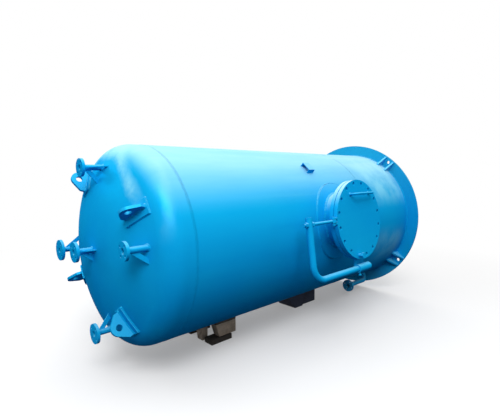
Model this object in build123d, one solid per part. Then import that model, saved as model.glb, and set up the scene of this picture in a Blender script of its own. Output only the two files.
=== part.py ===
from build123d import *
import math
import os

# Vertical process vessel lying on its side on short timbers. Millimetres.
# The pieces are drawn in the vessel's own frame: the axis is X, the domed top end points to -X, the
# seam of the top head is at x = 0, and the manway points to -Y. The vessel is then turned a little
# about its axis, as it lies, and the whole part is moved so that the origin is on the ground under
# the middle of its overall box.

# Vessel wall
SHELL_OD = 1220.0
WALL = 10.0
SHELL_LENGTH = 1710.0
SKIRT_LENGTH = 702.0
CROWN_R = 1230.0
KNUCKLE_R = 132.0
STRAIGHT_FLANGE = 60.0
LAP = 40.0
ROLL = 8.2

# Base ring, which stands out past the skirt and reaches in under it, and its anchor chairs
RING_OUT = 100.0
RING_IN = 60.0
RING_THICKNESS = 16.0
ANCHOR_EDGE = 40.0
ANCHOR_HOLE = 30.0
ANCHOR_COUNT = 4
GUSSET_THICKNESS = 14.0
GUSSET_SPACING = 92.0
GUSSET_LENGTH = 75.0
GUSSET_TIP = 10.0
GUSSET_INSET = 8.0

# Manway: neck, reinforcing pad, flange and cover
MANWAY_FROM_SKIRT = 407.0
NECK_OD = 406.4
NECK_WALL = 9.5
NECK_RISE = 131.0
NECK_SETBACK = 6.0
PAD_WIDTH = 78.8
PAD_THICKNESS = 10.0
FLANGE_WIDTH = 79.3
FLANGE_THICKNESS = 28.0
COVER_THICKNESS = 28.0
COVER_GAP = 5.0
MANWAY_BOLT_EDGE = 25.0
MANWAY_HOLE = 26.0
MANWAY_BOLTS = 16
MANWAY_BOLT_TURN = 2.2
SPARE_BOLT_ANGLE = 258.0
SPARE_BOLT_OUT = 24.0
SPARE_HEAD_WIDTH = 38.0
SPARE_HEAD_THICKNESS = 16.0

# Handle and lugs on the cover
HANDLE_LENGTH = 240.0
HANDLE_OFFSET = 20.0
HANDLE_BAR = 16.0
HANDLE_STANDOFF = 50.0
HANDLE_HEIGHT = 180.0
HANDLE_BEND = 30.0
COVER_LUG_THICKNESS = 10.0
COVER_LUG_REACH = 40.0
COVER_LUG_WIDTH = 28.0
COVER_LUG_CLEARANCE = 2.0
COVER_LUG_HEIGHT = 12.0

# Davit that carries the cover
DAVIT_FROM_FLANGE = 60.0
DAVIT_PIPE_OD = 42.4
DAVIT_PIPE_WALL = 4.0
DAVIT_REACH = 284.5
DAVIT_BEND = 100.0
DAVIT_TOP = 45.0
DAVIT_TAIL = 12.0
SLEEVE_WALL = 6.5
SLEEVE_LENGTH = 137.0
SLEEVE_CLEARANCE = 0.1
COLLAR_WIDTH = 8.0
COLLAR_LENGTH = 12.0
COLLAR_GAP = 0.3
BRACKET_THICKNESS = 12.0
BRACKET_LENGTH = 110.0
BRACKET_OVERHANG = 14.0
EYE_BOLT = 20.0
EYE_RIM = 13.0
EYE_THICKNESS = 22.0
EYE_THREAD = 30.0
EYE_NUT_WIDTH = 30.0
EYE_NUT_THICKNESS = 16.0
LUG_PIN = 14.0
LUG_PIN_RIM = 4.0
LUG_PIN_HEAD_THICKNESS = 8.0
LOCK_BOLT = 12.0
LOCK_BOLT_LENGTH = 20.0
LOCK_HEAD_WIDTH = 19.0
LOCK_HEAD_THICKNESS = 9.0
LOCK_FROM_END = 14.0

# Small nozzles on the top head, with flanges of several sizes
NOZZLE_PIPE_OD = 33.7
NOZZLE_PIPE_WALL = 3.2
CENTRE_FLANGE_OD = 115.0
NEAR_FLANGE_OD = 98.0
TOP_FLANGE_OD = 105.0
FAR_FLANGE_OD = 136.0
LOW_FLANGE_OD = 115.0
NOZZLE_FLANGE_THICKNESS = 16.0
NOZZLE_SETBACK = 4.0
NOZZLE_BOLT_EDGE = 15.0
NOZZLE_HOLE = 14.0
NOZZLE_HOLES = 4
NOZZLE_INSET = 137.0
TOP_NOZZLE_TURN = 2.2
OUTER_NOZZLE_RISE = 129.0
CENTRE_NOZZLE_RISE = 102.5
BRACE_WIDTH = 25.0
BRACE_THICKNESS = 6.0
INWARD_BRACE_LEAN = 50.0
SIDE_BRACE_LEAN = 36.0

# Lifting lugs on the top head
LUG_COUNT = 4
LUG_ANGLE = 23.9
LUG_INSET = 161.0
LUG_HOLE = 38.0
LUG_HOLE_HEIGHT = 56.0
LUG_RIM = 27.0
LUG_BASE = 150.0
LUG_THICKNESS = 16.0
LUG_PAD_LENGTH = 165.0
LUG_PAD_WIDTH = 90.0
LUG_PAD_THICKNESS = 10.0

# Plate bracket on the shell
PLATE_FROM_SKIRT = 555.0
PLATE_ANGLE = 41.3
PLATE_LENGTH = 67.0
PLATE_WIDTH = 80.0
PLATE_THICKNESS = 4.0
PLATE_STANDOFF = 31.0

# Drain that turns out through the skirt and back towards the dome
DRAIN_ANGLE = -76.2
DRAIN_OUT = 72.0
DRAIN_PIPE_OD = 42.4
DRAIN_FLANGE_OD = 110.0
DRAIN_FROM_RING = 112.0
DRAIN_RUN = 315.0
DRAIN_BEND = 45.0

# Timber under the shell. Heights are from its lowest line, which lies on the crib's full height
CRIB_HEIGHT = 140.0
PROP_X = 404.0
PROP_WIDTH = 68.0
PROP_SLANT = 20.0
PROP_DEPTH = 60.0
BLOCK_X = 468.0
BLOCK_WIDTH = 184.0
BLOCK_SLANT = 32.0
BLOCK_INNER = 95.0
BLOCK_OUTER = 160.0
BLOCK_DROP = 10.0
PLANK_X = 424.0
PLANK_LENGTH = 182.0
PLANK_THICKNESS = 38.0
PLANK_LAP = 10.0
REAR_FROM_SKIRT = 304.0
REAR_SLANT = 123.0
REAR_WIDTHS = (102.0, 196.0)
REAR_DEPTHS = (96.0, 80.0)
REAR_GAP = 2.0

# Worked-out sizes
SHELL_R = SHELL_OD / 2
BORE_R = SHELL_R - WALL
SKIRT_END = SHELL_LENGTH + SKIRT_LENGTH
RING_FAR = SKIRT_END + RING_THICKNESS
RING_R = SHELL_R + RING_OUT
ANCHOR_R = RING_R - ANCHOR_EDGE
MANWAY_X = SHELL_LENGTH - MANWAY_FROM_SKIRT
FLANGE_FACE = SHELL_R + NECK_RISE
FLANGE_R = NECK_OD / 2 + FLANGE_WIDTH
MANWAY_BOLT_R = FLANGE_R - MANWAY_BOLT_EDGE
COVER_BACK = FLANGE_FACE + COVER_GAP
COVER_FACE = COVER_BACK + COVER_THICKNESS
DAVIT_PLANE = COVER_BACK + COVER_THICKNESS / 2
DAVIT_OFFSET = FLANGE_R + DAVIT_FROM_FLANGE
SLEEVE_BORE_R = DAVIT_PIPE_OD / 2 + SLEEVE_CLEARANCE
SLEEVE_R = SLEEVE_BORE_R + SLEEVE_WALL
SLEEVE_START = MANWAY_X - SLEEVE_LENGTH / 2
EYE_X = MANWAY_X - FLANGE_R - COVER_LUG_REACH + COVER_LUG_WIDTH / 2
ARM_X = MANWAY_X - FLANGE_R - DAVIT_REACH
COVER_LUG_GAP = EYE_THICKNESS + 2 * COVER_LUG_CLEARANCE
NOZZLE_R = NOZZLE_PIPE_OD / 2
NOZZLE_CIRCLE_R = SHELL_R - NOZZLE_INSET
LUG_FOOT_R = SHELL_R - LUG_INSET
DRAIN_AXIS_R = SHELL_R + DRAIN_OUT
DRAIN_OUTLET_X = SKIRT_END - DRAIN_FROM_RING
DRAIN_FACE_X = DRAIN_OUTLET_X - DRAIN_RUN
AXIS_HEIGHT = SHELL_R + CRIB_HEIGHT


def crown_x(outer_r, straight):
    """Station of the crown's centre, for a dished end whose edge is at x = 0 and dome at -X."""
    return math.sqrt((CROWN_R - KNUCKLE_R) ** 2 - (outer_r - KNUCKLE_R) ** 2) - straight


def head_x(radius):
    """Station of the top head's outer surface at a distance from the axis."""
    return crown_x(SHELL_R, STRAIGHT_FLANGE) - math.sqrt(CROWN_R**2 - radius**2)


OUTER_NOZZLE_FACE = OUTER_NOZZLE_RISE - head_x(NOZZLE_CIRCLE_R)
CENTRE_NOZZLE_FACE = CENTRE_NOZZLE_RISE - head_x(0)

roll = math.radians(ROLL)
DAVIT_SIDE = DAVIT_PLANE * math.cos(roll) + DAVIT_OFFSET * math.sin(roll) + SLEEVE_R
MID_X = (RING_FAR - CENTRE_NOZZLE_FACE) / 2
MID_Y = (RING_R - DAVIT_SIDE) / 2

TO_GROUND = Pos(-MID_X, -MID_Y, AXIS_HEIGHT)
AS_IT_LIES = TO_GROUND * Rot(X=-ROLL)
EYE_PLACE = Pos(EYE_X, -DAVIT_PLANE, COVER_LUG_HEIGHT)
ARM_PLACE = Pos(ARM_X, -DAVIT_PLANE, COVER_LUG_HEIGHT)
FROM_BELOW = (Align.CENTER, Align.CENTER, Align.MIN)
FROM_LEFT = (Align.MIN, Align.CENTER, Align.CENTER)


def rod_x(x0, x1, radius, y=0.0, z=0.0):
    """Round bar along X between two stations."""
    return Pos((x0 + x1) / 2, y, z) * Rot(Y=90) * Cylinder(radius, abs(x1 - x0))


def tube_x(x0, x1, outer, inner, y=0.0, z=0.0):
    return rod_x(x0, x1, outer, y, z) - rod_x(x0 - 1, x1 + 1, inner, y, z)


def rod_m(m0, m1, radius, x=MANWAY_X, z=0.0):
    """Round bar along the manway's axis, m being the distance from the vessel's axis."""
    return Pos(x, -(m0 + m1) / 2, z) * Rot(X=90) * Cylinder(radius, abs(m1 - m0))


def polar(radius, angle):
    """Y and Z of a point at an angle that is 0 at the manway's side and 90 at the top."""
    a = math.radians(angle)
    return -radius * math.cos(a), radius * math.sin(a)


def dish(offset=0.0, outer_r=SHELL_R, straight=STRAIGHT_FLANGE):
    """Filled torispherical end to -X of x = 0, its surface moved outwards by an offset."""
    centre_r = outer_r - KNUCKLE_R
    crown_at = crown_x(outer_r, straight)
    tilt = math.degrees(math.asin(centre_r / (CROWN_R - KNUCKLE_R)))
    apex = (crown_at - CROWN_R - offset, 0)
    edge = (-straight, outer_r + offset)
    crown = CenterArc((crown_at, 0), CROWN_R + offset, 180 - tilt, tilt)
    knuckle = CenterArc((-straight, centre_r), KNUCKLE_R + offset, 90, 90 - tilt)
    sides = Line(edge, (0, outer_r + offset)) + Line((0, outer_r + offset), (0, 0)) + Line((0, 0), apex)
    return revolve(make_face(crown + knuckle + sides), Axis.X)


def bolt_holes_x(x0, x1, circle_r, hole, count, y=0.0, z=0.0):
    """Holes on a circle, astride its level and upright lines."""
    holes = []
    for k in range(count):
        hy, hz = polar(circle_r, 360 / count * (k + 0.5))
        holes.append(rod_x(x0 - 1, x1 + 1, hole / 2, y + hy, z + hz))
    return holes


def nozzle_places():
    """Angle, Y, Z, face and flange diameter of the five nozzles: the middle one, then the outer four."""
    places = [(0.0, 0.0, 0.0, CENTRE_NOZZLE_FACE, CENTRE_FLANGE_OD)]
    outer = {
        0.0: NEAR_FLANGE_OD,
        90.0 - TOP_NOZZLE_TURN: TOP_FLANGE_OD,
        180.0: FAR_FLANGE_OD,
        270.0: LOW_FLANGE_OD,
    }
    for angle, diameter in outer.items():
        y, z = polar(NOZZLE_CIRCLE_R, angle)
        places.append((angle, y, z, OUTER_NOZZLE_FACE, diameter))
    return places


def drain_frame():
    """Frame on the vessel's axis whose Y points out along the drain."""
    return Rot(X=180 - DRAIN_ANGLE)


def sweep_round(path, radius):
    section = Plane(origin=path @ 0, z_dir=path % 0) * Circle(radius)
    return sweep(section, path=path)


def sweep_pipe(path, radius, wall):
    return sweep_round(path, radius) - sweep_round(path, radius - wall)


# Top head with a hole for each nozzle
def top_head():
    head = dish() - dish(-WALL)
    for _, y, z, face, _ in nozzle_places():
        head -= rod_x(-face, 0, NOZZLE_R, y, z)
    return head


# Cylindrical shell with the manway's hole
def shell():
    return tube_x(0, SHELL_LENGTH, SHELL_R, BORE_R) - rod_m(0, SHELL_OD, NECK_OD / 2)


# Bottom head, lapped inside the end of the shell and hidden by the skirt
def bottom_head():
    head = dish(0, BORE_R, LAP) - dish(-WALL, BORE_R, LAP)
    head = Pos(SHELL_LENGTH - LAP, 0, 0) * Rot(Z=180) * head
    return head - rod_x(SHELL_LENGTH, SKIRT_END, DRAIN_PIPE_OD / 2)


def skirt():
    wall = tube_x(SHELL_LENGTH, SKIRT_END, SHELL_R, BORE_R)
    outlet = Pos(DRAIN_OUTLET_X, SHELL_R - WALL, 0) * Rot(X=90) * Cylinder(DRAIN_PIPE_OD / 2, 4 * WALL)
    return wall - drain_frame() * outlet


def chair_angles():
    return [360 / ANCHOR_COUNT * (k + 0.5) for k in range(ANCHOR_COUNT)]


def base_ring():
    ring = tube_x(SKIRT_END, RING_FAR, RING_R, SHELL_R - RING_IN)
    return ring - bolt_holes_x(SKIRT_END, RING_FAR, ANCHOR_R, ANCHOR_HOLE, ANCHOR_COUNT)


# Two plates beside each anchor hole, on the skirt and on the ring
def anchor_gussets():
    top = RING_R - GUSSET_INSET
    outline = Polyline(
        (SKIRT_END, BORE_R),
        (SKIRT_END, top),
        (SKIRT_END - GUSSET_TIP, top),
        (SKIRT_END - GUSSET_LENGTH, SHELL_R + GUSSET_TIP),
        (SKIRT_END - GUSSET_LENGTH, BORE_R),
        close=True,
    )
    plate = extrude(make_face(outline), GUSSET_THICKNESS / 2, both=True)
    plates = []
    for angle in chair_angles():
        for side in (-1, 1):
            placed = Rot(X=180 - angle) * Pos(0, 0, side * GUSSET_SPACING / 2) * plate
            plates.append(placed - rod_x(0, SKIRT_END, SHELL_R))
    return plates


# Manway
def manway_pad():
    band = tube_x(0, SHELL_LENGTH, SHELL_R + PAD_THICKNESS, SHELL_R)
    return (band & rod_m(0, SHELL_OD, NECK_OD / 2 + PAD_WIDTH)) - rod_m(0, SHELL_OD, NECK_OD / 2)


def manway_neck():
    bore = rod_m(0, SHELL_OD, NECK_OD / 2 - NECK_WALL)
    neck = rod_m(BORE_R - NECK_OD / 2, FLANGE_FACE - NECK_SETBACK, NECK_OD / 2) - bore
    return neck - rod_x(0, SHELL_LENGTH, BORE_R)


def manway_bolt_places():
    """X and Z of the bolts, which are turned a little from the vessel's axis."""
    places = []
    for k in range(MANWAY_BOLTS):
        a = math.radians(360 / MANWAY_BOLTS * (k + 0.5) - MANWAY_BOLT_TURN)
        places.append((MANWAY_X + MANWAY_BOLT_R * math.cos(a), MANWAY_BOLT_R * math.sin(a)))
    return places


def manway_holes(m0, m1):
    return [rod_m(m0 - 1, m1 + 1, MANWAY_HOLE / 2, x, z) for x, z in manway_bolt_places()]


def manway_flange():
    back = FLANGE_FACE - FLANGE_THICKNESS
    ring = rod_m(back, FLANGE_FACE, FLANGE_R) - rod_m(back - 1, FLANGE_FACE + 1, NECK_OD / 2)
    return ring - manway_holes(back, FLANGE_FACE)


def manway_cover():
    return rod_m(COVER_BACK, COVER_FACE, FLANGE_R) - manway_holes(COVER_BACK, COVER_FACE)


# Bolt left in one of the cover's lower holes; the others are empty
def spare_bolt():
    nearest = round(SPARE_BOLT_ANGLE * MANWAY_BOLTS / 360 - 0.5)
    x, z = manway_bolt_places()[nearest]
    end = COVER_FACE + SPARE_BOLT_OUT
    head = extrude(RegularPolygon(SPARE_HEAD_WIDTH / 2, 6, major_radius=False), SPARE_HEAD_THICKNESS)
    return rod_m(COVER_BACK, end, MANWAY_HOLE / 2, x, z) + Pos(x, -end, z) * Rot(X=90) * head


def cover_handle():
    half = HANDLE_LENGTH / 2
    out = HANDLE_STANDOFF
    corners = [(-half, 0, 0), (-half, -out, 0), (half, -out, 0), (half, 0, 0)]
    path = FilletPolyline(*corners, radius=HANDLE_BEND)
    return Pos(MANWAY_X + HANDLE_OFFSET, -COVER_FACE, HANDLE_HEIGHT) * sweep_round(path, HANDLE_BAR / 2)


# Two ears on the cover's edge, a pin through them and the eye bolt between them
def cover_lugs():
    bar = Box(COVER_LUG_REACH + COVER_LUG_WIDTH, COVER_LUG_WIDTH, COVER_LUG_THICKNESS, align=FROM_LEFT)
    ear = bar + Cylinder(COVER_LUG_WIDTH / 2, COVER_LUG_THICKNESS)
    ear -= Cylinder(LUG_PIN / 2, COVER_LUG_THICKNESS)
    offset = (COVER_LUG_GAP + COVER_LUG_THICKNESS) / 2
    rim = rod_m(COVER_BACK - COVER_LUG_WIDTH, COVER_FACE + COVER_LUG_WIDTH, FLANGE_R)
    return [EYE_PLACE * Pos(0, 0, side * offset) * ear - rim for side in (-1, 1)]


def lug_pin():
    half = COVER_LUG_GAP / 2 + COVER_LUG_THICKNESS
    head = Cylinder(LUG_PIN / 2 + LUG_PIN_RIM, LUG_PIN_HEAD_THICKNESS)
    lift = half + LUG_PIN_HEAD_THICKNESS / 2
    return EYE_PLACE * (Cylinder(LUG_PIN / 2, 2 * half) + Pos(0, 0, lift) * head + Pos(0, 0, -lift) * head)


def eye_bolt():
    eye = Cylinder(LUG_PIN / 2 + EYE_RIM, EYE_THICKNESS)
    length = EYE_X - ARM_X + DAVIT_PIPE_OD / 2 + EYE_THREAD
    bolt = eye + rod_x(-length, -LUG_PIN / 2, EYE_BOLT / 2) - Cylinder(LUG_PIN / 2, EYE_THICKNESS)
    return EYE_PLACE * bolt


def eye_bolt_nuts():
    hexagon = RegularPolygon(EYE_NUT_WIDTH / 2, 6, major_radius=False)
    nut = Rot(Y=90) * extrude(hexagon - Circle(EYE_BOLT / 2), EYE_NUT_THICKNESS)
    seat = DAVIT_PIPE_OD / 2
    return [ARM_PLACE * Pos(-seat - EYE_NUT_THICKNESS, 0, 0) * nut, ARM_PLACE * Pos(seat, 0, 0) * nut]


# Davit: bent pipe in a sleeve that a bracket carries on the flange
def davit_arm():
    tail = SLEEVE_START + SLEEVE_LENGTH + DAVIT_TAIL
    path = FilletPolyline(
        (tail, -DAVIT_PLANE, -DAVIT_OFFSET),
        (ARM_X, -DAVIT_PLANE, -DAVIT_OFFSET),
        (ARM_X, -DAVIT_PLANE, COVER_LUG_HEIGHT + DAVIT_TOP),
        radius=DAVIT_BEND,
    )
    pipe = sweep_pipe(path, DAVIT_PIPE_OD / 2, DAVIT_PIPE_WALL)
    end = SLEEVE_START - COLLAR_GAP
    inside = (DAVIT_PIPE_OD - DAVIT_PIPE_WALL) / 2
    outside = DAVIT_PIPE_OD / 2 + COLLAR_WIDTH
    collar = tube_x(end - COLLAR_LENGTH, end, outside, inside, -DAVIT_PLANE, -DAVIT_OFFSET)
    return pipe + collar - ARM_PLACE * rod_x(-DAVIT_PIPE_OD, DAVIT_PIPE_OD, EYE_BOLT / 2)


def lock_place():
    """Frame on the sleeve's axis whose Z points out along the locking bolt."""
    return Pos(SLEEVE_START + LOCK_FROM_END, -DAVIT_PLANE, -DAVIT_OFFSET) * Rot(X=180)


def davit_sleeve():
    end = SLEEVE_START + SLEEVE_LENGTH
    tube = tube_x(SLEEVE_START, end, SLEEVE_R, SLEEVE_BORE_R, -DAVIT_PLANE, -DAVIT_OFFSET)
    return tube - lock_place() * Cylinder(LOCK_BOLT / 2, 2 * SLEEVE_R, align=FROM_BELOW)


def lock_bolt():
    start = DAVIT_PIPE_OD / 2 + COLLAR_GAP
    shank = Pos(0, 0, start) * Cylinder(LOCK_BOLT / 2, LOCK_BOLT_LENGTH, align=FROM_BELOW)
    head = extrude(RegularPolygon(LOCK_HEAD_WIDTH / 2, 6, major_radius=False), LOCK_HEAD_THICKNESS)
    return lock_place() * (shank + Pos(0, 0, start + LOCK_BOLT_LENGTH) * head)


def davit_bracket():
    m = DAVIT_PLANE - SLEEVE_R - BRACKET_THICKNESS / 2
    depth = DAVIT_OFFSET + BRACKET_OVERHANG
    plate = Pos(MANWAY_X, -m, -depth / 2) * Box(BRACKET_LENGTH, BRACKET_THICKNESS, depth)
    return plate - rod_m(0, SHELL_OD, FLANGE_R)


# Nozzles on the top head
def nozzle_pipe(place):
    _, y, z, face, _ = place
    pipe = tube_x(NOZZLE_SETBACK - face, 0, NOZZLE_R, NOZZLE_R - NOZZLE_PIPE_WALL, y, z)
    return pipe - dish(-WALL)


def small_flange(x, y, z, diameter, bore_r):
    """Flange whose face, at x, points to -X."""
    back = x + NOZZLE_FLANGE_THICKNESS
    ring = tube_x(x, back, diameter / 2, bore_r, y, z)
    bolt_r = diameter / 2 - NOZZLE_BOLT_EDGE
    return ring - bolt_holes_x(x, back, bolt_r, NOZZLE_HOLE, NOZZLE_HOLES, y, z)


def nozzle_flange(place):
    _, y, z, face, diameter = place
    return small_flange(-face, y, z, diameter, NOZZLE_R)


def nozzle_brace(y, z, face, angle, lean):
    """Flat bar from the pipe, close behind the flange, out to the head."""
    back = NOZZLE_FLANGE_THICKNESS - face
    slope = math.radians(lean)
    rise = face * math.tan(slope)
    width = BRACE_WIDTH / math.sin(slope)
    far = back + face
    outline = Polyline((back, 0), (far, rise), (far + width, rise), (back + width, 0), close=True)
    bar = extrude(make_face(outline), BRACE_THICKNESS / 2, both=True)
    bar = Pos(0, y, z) * Rot(X=180 - angle) * bar - rod_x(-face, 0, NOZZLE_R, y, z)
    return (bar - dish()).solids().sort_by(Axis.X)[0]


def nozzle_braces():
    """Two to a nozzle, square to each other: one leans to the vessel's axis and one sideways."""
    braces = []
    for angle, y, z, face, _ in nozzle_places():
        if y == z == 0:
            braces.append(nozzle_brace(y, z, face, angle, SIDE_BRACE_LEAN))
        else:
            braces.append(nozzle_brace(y, z, face, angle + 180, INWARD_BRACE_LEAN))
        braces.append(nozzle_brace(y, z, face, angle - 90, SIDE_BRACE_LEAN))
    return braces


# Lifting lugs and their pads
def lug_places():
    """Frames on the head's crown: Y points away from it, X to the rim and Z along the pin."""
    tilt = math.degrees(math.asin(LUG_FOOT_R / CROWN_R))
    foot = Pos(head_x(LUG_FOOT_R), LUG_FOOT_R, 0) * Rot(Z=90 - tilt)
    return [Rot(X=180 - LUG_ANGLE - 360 / LUG_COUNT * k) * foot for k in range(LUG_COUNT)]


def lifting_lugs():
    nose = Pos(0, LUG_HOLE_HEIGHT) * Circle(LUG_HOLE / 2 + LUG_RIM)
    foot = Rectangle(LUG_BASE, 2 * LUG_HOLE)
    outline = make_hull(nose.edges() + foot.edges())
    plate = extrude(outline - Pos(0, LUG_HOLE_HEIGHT) * Circle(LUG_HOLE / 2), LUG_THICKNESS / 2, both=True)
    seat = dish(LUG_PAD_THICKNESS)
    return [place * plate - seat for place in lug_places()]


def lug_pads():
    skin = dish(LUG_PAD_THICKNESS) - dish()
    blank = Box(LUG_PAD_LENGTH, LUG_PAD_LENGTH, LUG_PAD_WIDTH)
    return [skin & (place * blank) for place in lug_places()]


# Bare plate bracket on the upper side of the shell
def plate_bracket():
    high = SHELL_R + PLATE_STANDOFF
    outside = Box(PLATE_LENGTH, PLATE_WIDTH, high, align=FROM_BELOW)
    inside = Box(PLATE_LENGTH, PLATE_WIDTH - 2 * PLATE_THICKNESS, high - PLATE_THICKNESS, align=FROM_BELOW)
    bent = Pos(SHELL_LENGTH - PLATE_FROM_SKIRT, 0, 0) * (outside - inside)
    return Rot(X=90 - PLATE_ANGLE) * (bent - rod_x(0, SHELL_LENGTH, SHELL_R))


# Drain pipe and its flange
def drain_pipe():
    """Out of the bottom head, out through the skirt and back towards the dome."""
    apex = SHELL_LENGTH - LAP + CROWN_R - crown_x(BORE_R, LAP)
    path = FilletPolyline(
        (apex - 2 * WALL, 0, 0),
        (DRAIN_OUTLET_X, 0, 0),
        (DRAIN_OUTLET_X, DRAIN_AXIS_R, 0),
        (DRAIN_FACE_X + NOZZLE_SETBACK, DRAIN_AXIS_R, 0),
        radius=DRAIN_BEND,
    )
    return drain_frame() * sweep_pipe(path, DRAIN_PIPE_OD / 2, NOZZLE_PIPE_WALL)


def drain_flange():
    return drain_frame() * small_flange(DRAIN_FACE_X, DRAIN_AXIS_R, 0, DRAIN_FLANGE_OD, DRAIN_PIPE_OD / 2)


# Timbers under the shell, which are level and not turned with it
def timber(foot, top, right, low, near, far, high=None):
    """Timber whose left end slants from foot, at its lower level, to top; near and far are to -Y.

    Without an upper level it reaches the shell, which it meets along its own middle line.
    """
    lift = math.asin((near + far) / 2 / SHELL_R)

    def touch(y):
        return (y - SHELL_R * math.sin(lift)) * math.tan(lift) - SHELL_R * math.cos(lift)

    near_top, far_top = (touch(near), touch(far)) if high is None else (high, high)
    side = Polyline((foot, low), (right, low), (right, far_top), (top, far_top), close=True)
    end = Polyline((near, low), (far, low), (far, far_top), (near, near_top), close=True)
    along = Pos(0, far, 0) * extrude(Plane.XZ * make_face(side), far - near)
    across = extrude(Plane.YZ * make_face(end), right)
    return mirror(along & across, Plane.XZ)


def both_sides(piece):
    return [piece, mirror(piece, Plane.XZ)]


def front_prop():
    return timber(PROP_X + PROP_SLANT, PROP_X, PROP_X + PROP_WIDTH, -AXIS_HEIGHT, 0, PROP_DEPTH)


def front_planks():
    end = PLANK_X + PLANK_LENGTH
    inner = BLOCK_INNER - PLANK_LAP
    outer = BLOCK_OUTER + PLANK_LAP
    high = PLANK_THICKNESS - AXIS_HEIGHT
    return both_sides(timber(PLANK_X, PLANK_X, end, -AXIS_HEIGHT, inner, outer, high))


def front_timbers():
    low = PLANK_THICKNESS - AXIS_HEIGHT
    high = -SHELL_R - BLOCK_DROP
    end = BLOCK_X + BLOCK_WIDTH
    return both_sides(timber(BLOCK_X + BLOCK_SLANT, BLOCK_X, end, low, BLOCK_INNER, BLOCK_OUTER, high))


def front_wedges():
    low = -SHELL_R - BLOCK_DROP
    return both_sides(timber(BLOCK_X, BLOCK_X, BLOCK_X + BLOCK_WIDTH, low, BLOCK_INNER, BLOCK_OUTER))


def rear_timbers():
    x = SHELL_LENGTH - REAR_FROM_SKIRT
    slant = REAR_SLANT
    blocks = []
    for width, depth in zip(REAR_WIDTHS, REAR_DEPTHS):
        blocks.append(timber(x, x - slant, x + width, -AXIS_HEIGHT, -depth, depth))
        x += width + REAR_GAP
        slant = 0.0
    return blocks


centre, *outer = nozzle_places()
PIECES = {
    "top_head": top_head(),
    "shell": shell(),
    "bottom_head": bottom_head(),
    "skirt": skirt(),
    "base_ring": base_ring(),
    "anchor_gussets": anchor_gussets(),
    "manway_pad": manway_pad(),
    "manway_neck": manway_neck(),
    "manway_flange": manway_flange(),
    "manway_cover": manway_cover(),
    "spare_bolt": spare_bolt(),
    "cover_handle": cover_handle(),
    "cover_lugs": cover_lugs(),
    "lug_pin": lug_pin(),
    "eye_bolt": eye_bolt(),
    "eye_bolt_nuts": eye_bolt_nuts(),
    "davit_arm": davit_arm(),
    "davit_sleeve": davit_sleeve(),
    "davit_bracket": davit_bracket(),
    "lock_bolt": lock_bolt(),
    "centre_nozzle_pipe": nozzle_pipe(centre),
    "centre_nozzle_flange": nozzle_flange(centre),
    "outer_nozzle_pipes": [nozzle_pipe(place) for place in outer],
    "outer_nozzle_flanges": [nozzle_flange(place) for place in outer],
    "nozzle_braces": nozzle_braces(),
    "lifting_lugs": lifting_lugs(),
    "lug_pads": lug_pads(),
    "plate_bracket": plate_bracket(),
    "drain_pipe": drain_pipe(),
    "drain_flange": drain_flange(),
}
CRIBS = {
    "front_prop": front_prop(),
    "front_planks": front_planks(),
    "front_timbers": front_timbers(),
    "front_wedges": front_wedges(),
    "rear_timbers": rear_timbers(),
}


def write(node, pieces, place):
    """One STEP file for each node, with all its solids in their place."""
    listed = pieces if isinstance(pieces, list) else [pieces]
    solids = []
    for piece in listed:
        solids += (place * piece).solids()
    shape = solids[0] if len(solids) == 1 else Compound(children=solids)
    export_step(shape, f"parts/{node}.step")


os.makedirs("parts", exist_ok=True)
for node, pieces in PIECES.items():
    write(node, pieces, AS_IT_LIES)
for node, pieces in CRIBS.items():
    write(node, pieces, TO_GROUND)
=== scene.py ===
import math

import bmesh
import bpy
import numpy as np
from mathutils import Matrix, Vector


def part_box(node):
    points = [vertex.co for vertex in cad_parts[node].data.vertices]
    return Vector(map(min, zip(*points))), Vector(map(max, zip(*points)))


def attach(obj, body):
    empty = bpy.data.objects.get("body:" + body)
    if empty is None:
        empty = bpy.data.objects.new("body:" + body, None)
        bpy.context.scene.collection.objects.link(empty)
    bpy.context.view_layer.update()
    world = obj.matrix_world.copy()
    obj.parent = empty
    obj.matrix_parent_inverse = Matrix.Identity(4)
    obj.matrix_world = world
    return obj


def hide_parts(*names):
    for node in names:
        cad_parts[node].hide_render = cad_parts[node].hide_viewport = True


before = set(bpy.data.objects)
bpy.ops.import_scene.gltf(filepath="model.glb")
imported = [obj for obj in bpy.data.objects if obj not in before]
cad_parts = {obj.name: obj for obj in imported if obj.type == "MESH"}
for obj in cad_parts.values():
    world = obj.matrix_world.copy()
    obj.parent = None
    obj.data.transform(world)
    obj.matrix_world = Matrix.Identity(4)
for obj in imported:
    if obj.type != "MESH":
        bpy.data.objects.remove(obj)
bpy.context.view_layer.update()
scene = bpy.context.scene
scene.view_settings.view_transform = "Standard"

# Camera: it stands before the domed end, on the manway's side and a little above the axis, and looks
# along the vessel with a short lens. The lens is given for a frame of 500 by 417 pixels.
CAMERA_AT, CAMERA_DOWN, CAMERA_TURN = (-2.138, -2.1257, 1.1969), 5.522, 43.484
eye = bpy.data.cameras.new("camera")
eye.sensor_width, eye.lens = 36.0, 27.47
camera = bpy.data.objects.new("camera", eye)
camera.location = CAMERA_AT
camera.rotation_euler = (math.radians(90 - CAMERA_DOWN), 0.0, math.radians(-CAMERA_TURN))
scene.collection.objects.link(camera)
scene.camera = camera


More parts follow.
